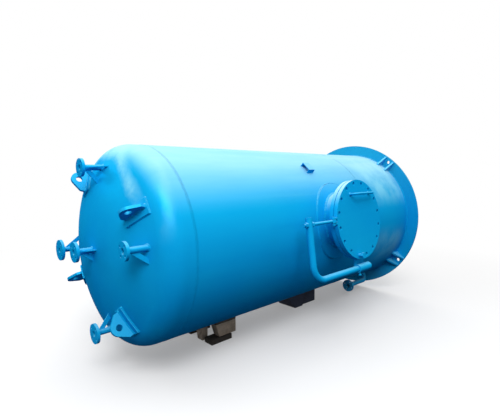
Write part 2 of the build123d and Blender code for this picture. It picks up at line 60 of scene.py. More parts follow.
# Studio lamps: a wide soft box over the vessel, as an overcast sky, a smaller one high on the camera's
# side, and one on the far side that the head's knuckle mirrors. All shine down, so the underside is dark.
def soft_box(name, place, aim, size, radiance):
    """A rectangular lamp at a place that faces a point; its power is radiance x pi x area."""
    lamp = bpy.data.lights.new(name, "AREA")
    lamp.shape, lamp.size, lamp.size_y = "RECTANGLE", size[0], size[1]
    lamp.energy = radiance * math.pi * size[0] * size[1]
    holder = bpy.data.objects.new(name, lamp)
    holder.location = place
    away = np.subtract(place, aim)
    turn = math.atan2(away[1], away[0]) + math.pi / 2
    holder.rotation_euler = (math.acos(away[2] / np.linalg.norm(away)), 0.0, turn)
    holder.visible_camera = False
    scene.collection.objects.link(holder)


soft_box("overhead", place=(0.4, 0.4, 4.6), aim=(0.4, 0.4, 0.0), size=(9.0, 8.0), radiance=1.15)
soft_box("front", place=(-3.4, -3.7, 5.0), aim=(0.0, 0.0, 0.7), size=(3.6, 2.8), radiance=9.0)
soft_box("far", place=(-3.6, 4.4, 2.9), aim=(-1.0, 0.0, 0.9), size=(3.6, 1.6), radiance=3.4)


# Studio floor and sky: a pale sheet with the vessel's shadow on it, which runs out to plain white. To
# the light that falls on the vessel the floor is darker, as bare ground would be.
class Flow:
    """One output socket in a node tree. Arithmetic on it adds Math nodes, and put adds any other node."""

    def __init__(self, tree, out=None):
        self.tree, self.out = tree, out

    def put(self, kind, settings=None, sockets=None, out=0):
        """Add a node: its settings are set first, then its sockets get values or links."""
        node = self.tree.nodes.new("ShaderNode" + kind)
        for name, value in (settings or {}).items():
            setattr(node, name, value)
        for key, value in (sockets or {}).items():
            if isinstance(value, Flow):
                self.tree.links.new(value.out, node.inputs[key])
            else:
                node.inputs[key].default_value = value
        return Flow(self.tree, node.outputs[out] if node.outputs else None)

    def other(self, name):
        """Another output of the same node."""
        return Flow(self.tree, self.out.node.outputs[name])

    def maths(self, operation, first, second=0.0, clamp=False):
        """A Math node, for single numbers."""
        return self.put("Math", {"operation": operation, "use_clamp": clamp}, {0: first, 1: second})

    def vectors(self, operation, first, second=(0.0, 0.0, 0.0), out="Vector"):
        """A Vector Math node; a length or a dot product comes out as Value."""
        return self.put("VectorMath", {"operation": operation}, {0: first, 1: second}, out)

    def step(self, low, high):
        """Rises smoothly from 0 at low to 1 at high; low may be the larger."""
        ends = {"Value": self, "From Min": low, "From Max": high}
        return self.put("MapRange", {"interpolation_type": "SMOOTHSTEP"}, ends)

    def patch(self, start, full, fading, end):
        """Rises from 0 at start to 1 at full, and falls from 1 at fading to 0 at end."""
        return self.step(start, full) * self.step(end, fading)

    def band(self, middle, core, edge):
        """1 within core of the middle, falling to 0 at edge from it on both sides."""
        return self.maths("ABSOLUTE", self - middle).step(edge, core)

    def shade(self, first, second):
        """First colour where this is 0, second where it is 1."""
        return self.put("Mix", {"data_type": "RGBA"}, {0: self, 6: first, 7: second}, out=2)

    def __add__(self, other):
        return self.maths("ADD", self, other)

    def __sub__(self, other):
        return self.maths("SUBTRACT", self, other)

    def __rsub__(self, other):
        return self.maths("SUBTRACT", other, self)

    def __mul__(self, other):
        return self.maths("MULTIPLY", self, other)

    __radd__ = __add__
    __rmul__ = __mul__


def new_tree(owner):
    """An empty node tree in a material or a world."""
    owner.use_nodes = True
    owner.node_tree.nodes.clear()
    return Flow(owner.node_tree)


def seen_directly(tree):
    """1 for rays from the camera and those that mirrors or glass pass on, 0 for soft light."""
    rays = tree.put("LightPath")
    both = rays + rays.other("Is Glossy Ray")
    return tree.maths("ADD", both, rays.other("Is Transmission Ray"), clamp=True)


WHITE = (1.0, 1.0, 1.0, 1.0)
SKY_FILL = 0.45
tree = new_tree(bpy.data.worlds.new("sky"))
scene.world = bpy.data.worlds["sky"]
strength = seen_directly(tree) * (1.0 - SKY_FILL) + SKY_FILL
sky = tree.put("Background", {}, {"Color": WHITE, "Strength": strength})
tree.put("OutputWorld", {}, {"Surface": sky})


def grid_faces(rows, columns, around_rows=False, around_columns=False):
    """Four corners for each cell of a grid of points; either way may close on itself."""
    r = np.arange(rows if around_rows else rows - 1)
    c = np.arange(columns if around_columns else columns - 1)
    a, b = np.meshgrid(r, c, indexing="ij")
    a2, b2 = (a + 1) % rows, (b + 1) % columns
    corners = [a * columns + b, a2 * columns + b, a2 * columns + b2, a * columns + b2]
    return np.stack(corners, -1).reshape(-1, 4)


FLOOR_REACH, FADE_START, FADE_END, LEAST_WHITE = 30.0, 1.6, 4.5, 0.25
side = np.array([-FLOOR_REACH, FLOOR_REACH])
floor_x, floor_y = np.meshgrid(side, side, indexing="ij")
floor_mesh = bpy.data.meshes.new("floor")
floor_points = np.stack([floor_x, floor_y, 0 * floor_x], -1).reshape(-1, 3)
floor_mesh.from_pydata(floor_points, [], grid_faces(2, 2).tolist())
floor = bpy.data.objects.new("floor", floor_mesh)
scene.collection.objects.link(floor)

sheet = bpy.data.materials.new("pale_floor")
tree = new_tree(sheet)
here = tree.put("TexCoord", out="Object")
reach = tree.vectors("LENGTH", here, out="Value")
whiteness = LEAST_WHITE + (1.0 - LEAST_WHITE) * reach.step(FADE_START, FADE_END)
pale = tree.put("BsdfDiffuse", {}, {"Color": (0.8, 0.8, 0.8, 1.0)})
white = tree.put("Emission", {}, {"Color": WHITE, "Strength": 1.0})
shown = tree.put("MixShader", {}, {"Fac": whiteness, 1: pale, 2: white})
dull = tree.put("BsdfDiffuse", {}, {"Color": (0.03, 0.03, 0.03, 1.0)})
surface = tree.put("MixShader", {}, {"Fac": seen_directly(tree), 1: dull, 2: shown})
tree.put("OutputMaterial", {}, {"Surface": surface})
floor_mesh.materials.append(sheet)


# Timbers: short sawn lengths of weathered wood with worn edges, laid loose on the ground. The prop and
# chocks near the domed end are brown, their wedges grey, and the two blocks near the skirt are dark wood
# painted near black with a blue cast, as shade.
WORN_EDGE, RING_WIDTH, HEART_AT = 0.004, 0.009, (0.0, 0.13, 0.09)
ALONG_GRAIN, UPRIGHT_GRAIN = (0.03, 0.05, 0.08), (0.04, 1.5, 0.06)
BROWN = (0.74, 0.62, 0.5, 1.0), (0.31, 0.245, 0.19, 1.0)
DARK_BROWN = (0.06, 0.052, 0.045, 1.0), (0.02, 0.018, 0.016, 1.0)
GREY = (0.13, 0.12, 0.105, 1.0), (0.045, 0.04, 0.036, 1.0)
# Near black with a blue cast: painted shade over dark wood.
SHADED_DARK_WOOD = (0.055, 0.07, 0.115, 1.0), (0.02, 0.025, 0.042, 1.0)
STAIN = (0.014, 0.012, 0.011, 1.0)


def worn_edges(node):
    """A copy of the node, its flat faces merged and each edge rounded by WORN_EDGE, to stand for it."""
    shape = bmesh.new()
    shape.from_mesh(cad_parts[node].data)
    bmesh.ops.remove_doubles(shape, verts=shape.verts, dist=1e-5)
    bmesh.ops.dissolve_limit(shape, angle_limit=0.01, verts=shape.verts, edges=shape.edges)
    bmesh.ops.bevel(shape, geom=shape.edges, offset=WORN_EDGE, segments=3, profile=0.6, affect="EDGES")
    mesh = bpy.data.meshes.new(node + "_worn")
    shape.to_mesh(mesh)
    shape.free()
    piece = bpy.data.objects.new(node + "_worn", mesh)
    scene.collection.objects.link(piece)
    return piece


def sawn_wood(name, pale_grain, dark_grain, lie):
    """Rings about a slanting heart line: its distance, warped by noise, over the width of a ring."""
    wood = bpy.data.materials.new(name)
    tree = new_tree(wood)
    here = tree.put("TexCoord", out="Object")
    laid = tree.put("Mapping", {}, {"Vector": here, "Location": HEART_AT, "Rotation": lie})
    warp = tree.put("TexNoise", {}, {"Vector": laid, "Scale": 6.0, "Detail": 3.0})
    axes = laid.put("SeparateXYZ", {}, {0: laid})
    across = axes.other("Y") * axes.other("Y") + axes.other("Z") * axes.other("Z")
    rings = (tree.maths("SQRT", across) + 0.03 * warp) * (2 * math.pi / RING_WIDTH)
    grain = tree.maths("SINE", rings) * 0.5 + 0.5
    stretch = tree.put("Mapping", {}, {"Vector": laid, "Scale": (8.0, 160.0, 160.0)})
    fibre = tree.put("TexNoise", {}, {"Vector": stretch, "Scale": 1.0, "Detail": 4.0})
    blotch = tree.put("TexNoise", {}, {"Vector": here, "Scale": 11.0, "Detail": 4.0}).step(0.4, 0.66)
    body = (0.45 * grain + 0.75 * fibre - 0.1).shade(dark_grain, pale_grain)
    colour = (0.45 * blotch).shade(body, STAIN)
    bump = tree.put("Bump", {}, {"Strength": 0.8, "Distance": 0.0015, "Height": fibre + 0.4 * grain})
    wood_shader = {"Base Color": colour, "Roughness": 0.7 + 0.2 * fibre, "Normal": bump}
    finish = tree.put("BsdfPrincipled", {}, {"Specular IOR Level": 0.2, **wood_shader})
    tree.put("OutputMaterial", {}, {"Surface": finish})
    return wood


timbers = {
    "front_prop": sawn_wood("prop_wood", *BROWN, UPRIGHT_GRAIN),
    "front_planks": sawn_wood("plank_wood", *DARK_BROWN, ALONG_GRAIN),
    "front_timbers": sawn_wood("chock_wood", *BROWN, ALONG_GRAIN),
    "front_wedges": sawn_wood("wedge_wood", *GREY, ALONG_GRAIN),
    "rear_timbers": sawn_wood("shaded_dark_wood", *SHADED_DARK_WOOD, ALONG_GRAIN),
}
for node, wood in timbers.items():
    block = worn_edges(node)
    block.data.materials.append(wood)
    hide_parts(node)
    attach(block, "vessel")


# Vessel wall: dished heads, a rolled shell and a skirt of steel plate, sprayed sky blue outside, while
# the tank's inside is bare. The blue is painted lighter on what faces up and darker on what faces down,
# as shade. Dust lies on what faces up, with a painted sheen of the sky on it, most of all on the
# manway's rims. Dry overspray with painted reflections in it makes pale streaks on the head, the skirt
# has a painted reflection of the sky and a pale patch low down, the bottom is darker in patches, and the
# upper part of the base ring is greyer and darker.
shell_low, shell_high = (np.array(corner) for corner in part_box("shell"))
AXIS_Y, AXIS_Z = (shell_low[1:] + shell_high[1:]) / 2
SHELL_R = (shell_high[2] - shell_low[2]) / 2
HEAD_SEAM, SKIRT_SEAM = shell_low[0], shell_high[0]
RING_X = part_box("base_ring")[0][0]
ROLL = math.radians(8.2)
FLANGE_R = 0.2825
MANWAY_AXIS = (0.0, -math.cos(ROLL), math.sin(ROLL))
MANWAY_AXIS_AT = (float(np.mean(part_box("manway_flange"), 0)[0]), float(AXIS_Y), float(AXIS_Z))

# Deep and light blue: the paint's tone lies between them, at random and by painted shade.
BLUE_DEEP, BLUE_LIGHT = (0.0, 0.255, 0.7, 1.0), (0.006, 0.415, 0.72, 1.0)
STEEL_DARK, STEEL_PALE = (0.1, 0.085, 0.075, 1.0), (0.2, 0.19, 0.18, 1.0)
# Dust with a painted sheen of the sky on it, and pale overspray with painted reflections in it.
DUST_AND_SHEEN, PALE_SPRAY_AND_REFLECTION = (0.5, 0.72, 0.75, 1.0), (0.27, 0.7, 0.86, 1.0)
# A darker, greyer tone low down, and a greyer, darker tone on the base ring's upper part.
LOW_TONE, RING_TOP_TONE = (0.1, 0.16, 0.2, 1.0), (0.03, 0.25, 0.28, 1.0)
SPRAY_AND_REFLECTION_COVER, LOW_TONE_COVER, RING_TOP_COVER = 0.48, 0.2, 0.36
GLOSS = {"Specular IOR Level": 0.0, "Specular Tint": (0.0, 0.5, 1.0, 1.0), "Metallic": 0.1}
RIPPLE_PITCH = 0.0045

# Pale overspray and painted reflections: metres along the vessel, on the head from its seam, and
# radians round it from the manway's side over the top. Four numbers are where a patch starts, is full,
# starts to fade and ends, and two are where one starts and is full. A band has a middle, and the half
# widths where it is full and where it ends.
RAGGED, FAR_SIDE, OFF_SEAM = 0.09, (2.7, 1.9), (-0.02, -0.09)
OUTER_SKIN = (SHELL_R - 0.006, SHELL_R - 0.002)
ARCH_R, ARCH_HALF, ARCH_STARTS = 0.474, (0.006, 0.058), (0.5, 0.95)
ARCH_SPREAD, ARCH_SPREADS = 0.1, (0.95, 1.5)
SLANT_AT, SLANT_RISE, SLANT_HALF, SLANT_STARTS = -0.158, 0.103, (0.004, 0.042), (0.12, 0.42)
CREST_ALONG, CREST_STARTS = (-0.215, -0.17), (0.95, 1.35)
SKY_REFLECTION_ALONG = (SKIRT_SEAM - 0.05, SKIRT_SEAM + 0.25, RING_X - 0.02, RING_X - 0.004)
LOW_PATCH_ALONG = (SKIRT_SEAM + 0.1, SKIRT_SEAM + 0.3, RING_X - 0.15, RING_X)
SKY_REFLECTION_ROUND, LOW_PATCH_ROUND = (0.2, 0.5, 0.8, 1.4), (-0.75, -0.35, -0.3, 0.0)
RING_TOP_ALONG, RING_TOP_ROUND = (RING_X - 0.004, RING_X), (-0.1, 0.9, 1.9, 2.7)
ARCH_STRENGTH, SLANT_STRENGTH, CREST_STRENGTH, SKY_REFLECTION_STRENGTH, LOW_PATCH_STRENGTH = 1.7, 0.25, 0.1, 1.1, 0.6


def overspray_and_reflections(tree, here, along, turn, radius):
    """How pale the surface is painted: dry overspray with painted reflections in it, as bands and patches
    in along, turn and radius, broken up by a noise.

    On the head an arch follows a circle and spreads at the top, a slanting streak lies behind it, and a
    painted highlight lies on the crest. On the skirt a painted reflection of the sky lies on the upper
    side, and a pale patch lies low on the manway's side.
    """
    streaky = tree.put("Mapping", {}, {"Vector": here, "Scale": (6.0, 5.0, 5.0)})
    smear = tree.put("TexNoise", {}, {"Vector": streaky, "Scale": 1.0, "Detail": 4.0, "Roughness": 0.6})
    ragged = RAGGED * (smear - 0.5)
    from_seam = along - HEAD_SEAM
    arch = (radius + ragged - ARCH_SPREAD * turn.step(*ARCH_SPREADS)).band(ARCH_R, *ARCH_HALF)
    slant = (from_seam + ragged - SLANT_RISE * turn).band(SLANT_AT, *SLANT_HALF)
    crest = turn.step(*CREST_STARTS) * from_seam.step(*CREST_ALONG)
    behind = tree.maths("MAXIMUM", SLANT_STRENGTH * (slant * turn.step(*SLANT_STARTS)), CREST_STRENGTH * crest)
    smears = tree.maths("MAXIMUM", ARCH_STRENGTH * (arch * turn.step(*ARCH_STARTS)), behind)
    on_head = smears * (from_seam.step(*OFF_SEAM) * turn.step(*FAR_SIDE))
    # A painted reflection of the sky on the skirt's upper side.
    sky_reflection = along.patch(*SKY_REFLECTION_ALONG) * turn.patch(*SKY_REFLECTION_ROUND)
    # A pale patch low on the skirt, on the manway's side.
    low_patch = along.patch(*LOW_PATCH_ALONG) * turn.patch(*LOW_PATCH_ROUND)
    on_skirt = radius.step(*OUTER_SKIN) * (SKY_REFLECTION_STRENGTH * sky_reflection + LOW_PATCH_STRENGTH * low_patch)
    return (on_head + on_skirt) * (0.2 + 0.8 * smear.step(0.3, 0.62))


def from_manway_axis(tree, here):
    """The distance from the manway's axis: the length of (here - a point on it) x its direction."""
    apart = tree.vectors("SUBTRACT", here, MANWAY_AXIS_AT)
    square = tree.vectors("CROSS_PRODUCT", apart, MANWAY_AXIS)
    return tree.vectors("LENGTH", square, out="Value")


def enamel(name, dust_and_sheen_weight=1.0, inside=None, ripple=False, rim=None):
    """Glossy machine paint. What faces the point inside is left as bare steel.

    Ripple adds a weld's waves along the piece's UV map. With rim, the dust and its painted sheen lie only
    further than this from the manway's axis, and so not in the bolt holes.
    """
    paint = bpy.data.materials.new(name)
    tree = new_tree(paint)
    here = tree.put("TexCoord", out="Object")
    along = tree.put("SeparateXYZ", {}, {0: here})
    level, height = AXIS_Y - along.other("Y"), along.other("Z") - AXIS_Z
    turn = tree.maths("ARCTAN2", height, level)
    radius = tree.maths("SQRT", level * level + height * height)
    outward = tree.put("TexCoord", out="Normal")
    upward = tree.put("SeparateXYZ", {}, {0: outward}, out="Z")
    broad = tree.put("TexNoise", {}, {"Vector": here, "Scale": 1.7, "Detail": 3.0})
    passes = tree.put("Mapping", {}, {"Vector": here, "Scale": (1.2, 9.0, 9.0)})
    bands = tree.put("TexNoise", {}, {"Vector": passes, "Scale": 1.0, "Detail": 4.0, "Roughness": 0.6})
    peel = tree.put("TexNoise", {}, {"Vector": here, "Scale": 260.0, "Detail": 2.0})

    # Painted shade: the blue is lighter on what faces up and darker on what faces down, with random tone
    # over it.
    painted_shading = upward.step(-0.7, 0.9)
    colour = (0.7 * painted_shading + 0.4 * broad + 0.3 * bands - 0.2).shade(BLUE_DEEP, BLUE_LIGHT)
    # Pale overspray on the head with painted reflections in it, and a painted sky reflection on the skirt.
    spray_and_reflection = overspray_and_reflections(tree, here, along, turn, radius)
    colour = (SPRAY_AND_REFLECTION_COVER * spray_and_reflection).shade(colour, PALE_SPRAY_AND_REFLECTION)
    # Dust on what faces up, with a painted sheen of the sky on it.
    dust_and_sheen = upward.step(0.35, 1.0) * (0.42 + 0.34 * bands)
    if rim:
        dust_and_sheen = dust_and_sheen * from_manway_axis(tree, here).step(rim - 0.006, rim - 0.001)
    colour = (dust_and_sheen_weight * dust_and_sheen).shade(colour, DUST_AND_SHEEN)
    # Darker, greyer patches towards the bottom.
    low_down = along.other("Z").step(0.35, 0.1) * broad.step(0.35, 0.6)
    colour = (LOW_TONE_COVER * low_down).shade(colour, LOW_TONE)
    # A greyer, darker tone on the upper part of the base ring.
    ring_top = along.step(*RING_TOP_ALONG) * turn.patch(*RING_TOP_ROUND)
    colour = (RING_TOP_COVER * ring_top).shade(colour, RING_TOP_TONE)
    roughness = 0.24 + 0.14 * bands + 0.16 * spray_and_reflection + 0.15 * dust_and_sheen

    relief = 0.1 * peel + broad
    if ripple:
        run = tree.put("SeparateXYZ", {}, {0: tree.put("TexCoord", out="UV")})
        relief = 0.35 * tree.maths("SINE", run * (2 * math.pi / RIPPLE_PITCH)) + relief
    bump = tree.put("Bump", {}, {"Strength": 1.0, "Distance": 0.0022, "Height": relief})
    if inside is not None:
        inward = tree.vectors("SUBTRACT", tuple(inside), here)
        bare = tree.vectors("DOT_PRODUCT", inward, outward, out="Value").step(0.0, 0.05)
        colour = bare.shade(colour, broad.shade(STEEL_DARK, STEEL_PALE))
        roughness = roughness + 0.3 * bare
    sockets = {"Base Color": colour, "Roughness": roughness, "Normal": bump}
    coat = tree.put("BsdfPrincipled", {}, {**GLOSS, **sockets})
    tree.put("OutputMaterial", {}, {"Surface": coat})
    return paint


fitting_paint = enamel("blue_enamel", dust_and_sheen_weight=0.3)
plate_paint = enamel("plate_enamel")
wall_paint = enamel("wall_enamel", inside=(shell_low + shell_high) / 2)
# The manway's rims carry the most dust and painted sheen.
rim_paint = enamel("rim_enamel", dust_and_sheen_weight=1.4, rim=FLANGE_R)
paints = dict.fromkeys(["skirt", "manway_pad", "manway_neck", "base_ring", "plate_bracket"], plate_paint)
paints |= dict.fromkeys(["top_head", "shell", "bottom_head"], wall_paint)
paints |= dict.fromkeys(["manway_flange", "manway_cover"], rim_paint)
for node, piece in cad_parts.items():
    if node not in timbers:
        piece.data.materials.clear()
        piece.data.materials.append(paints.get(node, fitting_paint))


# Weld seams of the wall: low, rippled beads round the head's edge and round the shell's end, laid by
# hand and painted over with the plate. They stand about a millimetre proud of the wall.
SEAM_WIDTH, SEAM_STEP = 0.009, 0.006
BEAD_STEP, BEAD_BULGE, BEAD_SUNK = 0.004, 0.45, 0.25
SEAM_HALF, SEAM_RISE, SEAM_DIP, SEAM_ROOT = 1.15, 0.11, 0.25, 0.8
TOE_REACH, TOE_DIP = 1.25, 0.2
WAVE_LENGTH, WAVE, SMALL_WAVE = 0.05, 0.06, 0.04


def points(x, y, z):
    """Points from their coordinates, each a number or an array."""
    return np.stack(np.broadcast_arrays(np.asarray(x, float), y, z), -1)


def circle(radius, step=BEAD_STEP):
    """Angles round a circle, about one step apart along it."""
    return np.linspace(0.0, 2 * math.pi, max(20, round(2 * math.pi * radius / step)), endpoint=False)


def about_vessel(radius, step=BEAD_STEP):
    """Unit directions square to the vessel's axis, from the manway's side over the top."""
    turn = circle(radius, step)
    return points(0.0, -np.cos(turn), np.sin(turn))


def unit(vectors):
    """Each vector over its length."""
    return vectors / np.linalg.norm(vectors, axis=-1, keepdims=True)


def lay(spots):
    """From the vessel's own frame, with its x from the head's seam, to its place: a turn by ROLL."""
    x, y, z = np.moveaxis(spots, -1, 0)
    level = y * math.cos(ROLL) + z * math.sin(ROLL)
    upright = z * math.cos(ROLL) - y * math.sin(ROLL)
    return points(HEAD_SEAM + x, AXIS_Y + level, AXIS_Z + upright)


def fillet_section():
    """A bulged quarter between the ends of two legs of 1, with its toes and root sunk in the plates."""
    turn = np.linspace(0.0, math.pi / 2, 6)
    reach = (1 - BEAD_BULGE) / (np.cos(turn) + np.sin(turn)) + BEAD_BULGE
    face = np.stack([reach * np.cos(turn), reach * np.sin(turn)], -1)
    return np.vstack([(TOE_REACH, -TOE_DIP), face, (-TOE_DIP, TOE_REACH), (-BEAD_SUNK, -BEAD_SUNK)])


def seam_section():
    """A low crest, the rise times a squared sine, whose sides and root are sunk in the plate."""
    turn = np.linspace(0.0, math.pi, 9)
    crest = SEAM_RISE * ((1 + SEAM_DIP) * np.sin(turn) ** 2 - SEAM_DIP)
    face = np.stack([SEAM_HALF * np.cos(turn), crest], -1)
    return np.vstack([face, [(-SEAM_ROOT, -BEAD_SUNK), (SEAM_ROOT, -BEAD_SUNK)]])


def bead(path, first, second, leg, closed=True, butt=False):
    """A weld's surface: path + leg x wobble x (a x first + b x second), for (a, b) round its section.

    Wobble is 1 plus two sine waves along the run. Returns points, faces, and the faces' UV map, with the
    run in metres and the share of the way round the section.
    """
    section = seam_section() if butt else fillet_section()
    first, second = np.broadcast_to(first, path.shape), np.broadcast_to(second, path.shape)
    ahead = np.roll(path, -1, 0) - path
    run = np.concatenate([[0.0], np.cumsum(np.linalg.norm(ahead, axis=-1))])
    length = run[-1] if closed else run[-2]
    waves = max(1, round(length / WAVE_LENGTH))
    phase = 2 * math.pi * run[:-1] / length
    wobble = 1 + WAVE * np.sin(waves * phase) + SMALL_WAVE * np.sin((2 * waves + 1) * phase + 1.0)
    spread = section[:, 0, None] * first[:, None] + section[:, 1, None] * second[:, None]
    surface = path[:, None] + leg * wobble[:, None, None] * spread
    rows, columns = surface.shape[:2]
    faces = grid_faces(rows, columns, around_rows=closed, around_columns=True)
    at, over = np.divmod(np.arange(len(faces)), columns)
    chart = np.stack([run[at], run[at + 1], run[at + 1], run[at]], -1)
    chart = np.stack([chart, np.stack([over, over, over + 1, over + 1], -1) / columns], -1)
    last = (rows - 1) * columns
    ends = [] if closed else [list(range(columns)), list(range(last + columns - 1, last - 1, -1))]
    if (np.cross(first, second) * ahead)[:-1].sum() > 0:
        faces, chart = faces[:, ::-1], chart[:, ::-1]
        ends = [end[::-1] for end in ends]
    return lay(surface).reshape(-1, 3), faces.tolist() + ends, chart


weld_paint = enamel("painted_weld", dust_and_sheen_weight=0.4, ripple=True)
seam_paint = enamel("painted_seam", ripple=True)


def welds(name, beads, body="vessel", paint=weld_paint):
    """One piece from several beads, each with its run in metres as the first coordinate of its UV map."""
    spots, faces, charts, start = [], [], [], 0
    for surface, corners, chart in beads:
        spots.append(surface)
        faces += [[corner + start for corner in face] for face in corners]
        ends = [np.zeros((len(face), 2)) for face in corners[len(chart):]]
        charts.append(np.concatenate([chart.reshape(-1, 2), *ends]))
        start += len(surface)
    mesh = bpy.data.meshes.new(name)
    mesh.from_pydata(np.concatenate(spots), [], faces)
    mesh.uv_layers.new(name="run").data.foreach_set("uv", np.concatenate(charts).astype("f").ravel())
    mesh.shade_smooth()
    mesh.materials.append(paint)
    piece = bpy.data.objects.new(name, mesh)
    scene.collection.objects.link(piece)
    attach(piece, body)
    return piece


ALONG = np.array([1.0, 0.0, 0.0])
outward = about_vessel(SHELL_R, SEAM_STEP)
head_bead = bead(SHELL_R * outward, ALONG, outward, SEAM_WIDTH, butt=True)
welds("head_seam", [head_bead], paint=seam_paint)
skirt_at = (SKIRT_SEAM - HEAD_SEAM) * ALONG
skirt_bead = bead(skirt_at + SHELL_R * outward, ALONG, outward, SEAM_WIDTH, butt=True)
welds("skirt_seam", [skirt_bead], paint=seam_paint)

# Base ring and anchor chairs: the ring is welded to the skirt's end inside and out, and each chair's
# two plates have a bead down both of their sides, along the skirt and along the ring.
RING_WELD, WALL = 0.008, 0.01
CHAIRS, GUSSET_WELD, GUSSET_SPACING, GUSSET_THICKNESS = 4, 0.006, 0.092, 0.014
GUSSET_LENGTH, GUSSET_END_GAP, RING_RIM = 0.075, 0.008, 0.702
ring_at = (RING_X - HEAD_SEAM) * ALONG
welds(
    "ring_welds",
    [
        bead(ring_at + SHELL_R * outward, outward, -ALONG, RING_WELD),
        bead(ring_at + (SHELL_R - WALL) * outward, -outward, -ALONG, RING_WELD),
    ],
)
chair_beads = []
for chair in range(CHAIRS):
    turn = math.radians(360 * (chair + 0.5) / CHAIRS)
    radial = np.array([0.0, -math.cos(turn), math.sin(turn)])
    beside = np.array([0.0, math.sin(turn), math.cos(turn)])
    for plate in (-1, 1):
        for face in (-1, 1):
            off = plate * GUSSET_SPACING / 2 + face * GUSSET_THICKNESS / 2
            skin = math.sqrt(SHELL_R**2 - off**2)
            foot = ring_at + off * beside + skin * radial
            run = np.linspace(-GUSSET_LENGTH, -GUSSET_END_GAP, 18)[:, None]
            on_skirt = foot + run * ALONG
            chair_beads.append(bead(on_skirt, face * beside, radial, GUSSET_WELD, closed=False))
            rise = np.linspace(GUSSET_END_GAP, RING_RIM - skin, 20)[:, None]
            on_ring = foot + rise * radial
            chair_beads.append(bead(on_ring, face * beside, -ALONG, GUSSET_WELD, closed=False))
welds("chair_welds", chair_beads)

# Manway: the pad lies on the shell round the neck, and the flange is slipped over the neck. Beads join
# pad to shell, neck to pad and neck to flange, and a rubber gasket lies on the flange's face.
NECK_R, PAD_R, PAD_THICKNESS = 0.2032, 0.282, 0.01
FLANGE_FACE, FLANGE_THICKNESS, NECK_SETBACK = 0.741, 0.028, 0.006
GASKET_IN, GASKET_OUT, GASKET_THICKNESS = 0.204, 0.236, 0.0048
PAD_WELD, NECK_WELD, FLANGE_WELD, INNER_WELD = 0.007, 0.01, 0.008, 0.0042
MANWAY_X = MANWAY_AXIS_AT[0] - HEAD_SEAM
OUT = np.array([0.0, -1.0, 0.0])


def about_manway(radius, step=BEAD_STEP):
    """Unit directions square to the manway's axis."""
    turn = circle(radius, step)
    return points(np.cos(turn), 0.0, np.sin(turn))


def in_surface(way, normal):
    """The part of a direction that lies in a surface: way - (way . normal) x normal, over its length."""
    return unit(way - (way * normal).sum(-1, keepdims=True) * normal)


def saddle(station, radius, skin):
    """Where a pipe's round meets a cylinder about the vessel's axis: y = -(skin^2 - z^2)^1/2.

    Returns the path, the way out from the pipe in the cylinder's surface, and the surface's normal.
    """
    spoke = about_manway(radius)
    x, _, z = radius * spoke.T
    path = points(station + x, -np.sqrt(skin**2 - z**2), z)
    normal = unit(path * (0.0, 1.0, 1.0))
    return path, in_surface(spoke, normal), normal


pad_edge, pad_away, pad_normal = saddle(MANWAY_X, PAD_R, SHELL_R)
neck_foot, neck_away, _ = saddle(MANWAY_X, NECK_R, SHELL_R + PAD_THICKNESS)
about = about_manway(NECK_R)
neck_end = MANWAY_X * ALONG + NECK_R * about
welds(
    "manway_welds",
    [
        bead(pad_edge, pad_away, pad_normal, PAD_WELD),
        bead(neck_foot, neck_away, OUT, NECK_WELD),
        bead(neck_end + (FLANGE_FACE - FLANGE_THICKNESS) * OUT, about, -OUT, FLANGE_WELD),
        bead(neck_end + (FLANGE_FACE - NECK_SETBACK) * OUT, -about, OUT, INNER_WELD),
    ],
)

rubber = bpy.data.materials.new("gasket_rubber")
tree = new_tree(rubber)
here = tree.put("TexCoord", out="Object")
grit = tree.put("TexNoise", {}, {"Vector": here, "Scale": 180.0, "Detail": 3.0})
bloom = grit.shade((0.012, 0.012, 0.012, 1.0), (0.035, 0.035, 0.034, 1.0))
bump = tree.put("Bump", {}, {"Strength": 0.4, "Distance": 0.0006, "Height": grit})
skin = tree.put("BsdfPrincipled", {}, {"Base Color": bloom, "Roughness": 0.6 + 0.2 * grit, "Normal": bump})
tree.put("OutputMaterial", {}, {"Surface": skin})

low_in, high_out = FLANGE_FACE, FLANGE_FACE + GASKET_THICKNESS
edges = [(GASKET_IN, low_in), (GASKET_OUT, low_in), (GASKET_OUT, high_out), (GASKET_IN, high_out)]
loop = np.stack([MANWAY_X * ALONG + radius * about + reach * OUT for radius, reach in edges], 1)
gasket_mesh = bpy.data.meshes.new("gasket")
gasket_mesh.from_pydata(lay(loop).reshape(-1, 3), [], grid_faces(len(about), 4, True, True).tolist())
gasket_mesh.materials.append(rubber)
gasket = bpy.data.objects.new("gasket", gasket_mesh)
scene.collection.objects.link(gasket)
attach(gasket, "vessel")

# Davit and cover fittings, of plate, pipe and bar: the bracket is welded to the flange's rim, the sleeve
# to the bracket, and the handle and two ears to the cover. The eye bolt's end is threaded.
COVER_FACE, COVER_BACK = 0.774, 0.746
DAVIT_PLANE, DAVIT_OFFSET, SLEEVE_R, GROOVE = 0.76, 0.3425, 0.0278, 0.3
BRACKET_HALF, BRACKET_OUTER, BRACKET_INNER = 0.055, 0.7322, 0.7202
HANDLE_ENDS, HANDLE_HEIGHT, HANDLE_R = (-0.1, 0.14), 0.18, 0.008
EAR_MIDDLE, EAR_FACES = 0.012, (-0.019, -0.009, 0.009, 0.019)
FITTING_WELD, HANDLE_WELD, EAR_WELD = 0.006, 0.005, 0.004
UP = np.array([0.0, 0.0, 1.0])
across = np.linspace(-BRACKET_HALF, BRACKET_HALF, 28)
rim = points(MANWAY_X + across, 0.0, -np.sqrt(FLANGE_R**2 - across**2))
groove = points(MANWAY_X + across, -BRACKET_OUTER, -DAVIT_OFFSET)
davit_beads = [
    bead(rim + BRACKET_OUTER * OUT, OUT, -UP, FITTING_WELD, closed=False),
    bead(rim + BRACKET_INNER * OUT, -OUT, -UP, FITTING_WELD, closed=False),
]
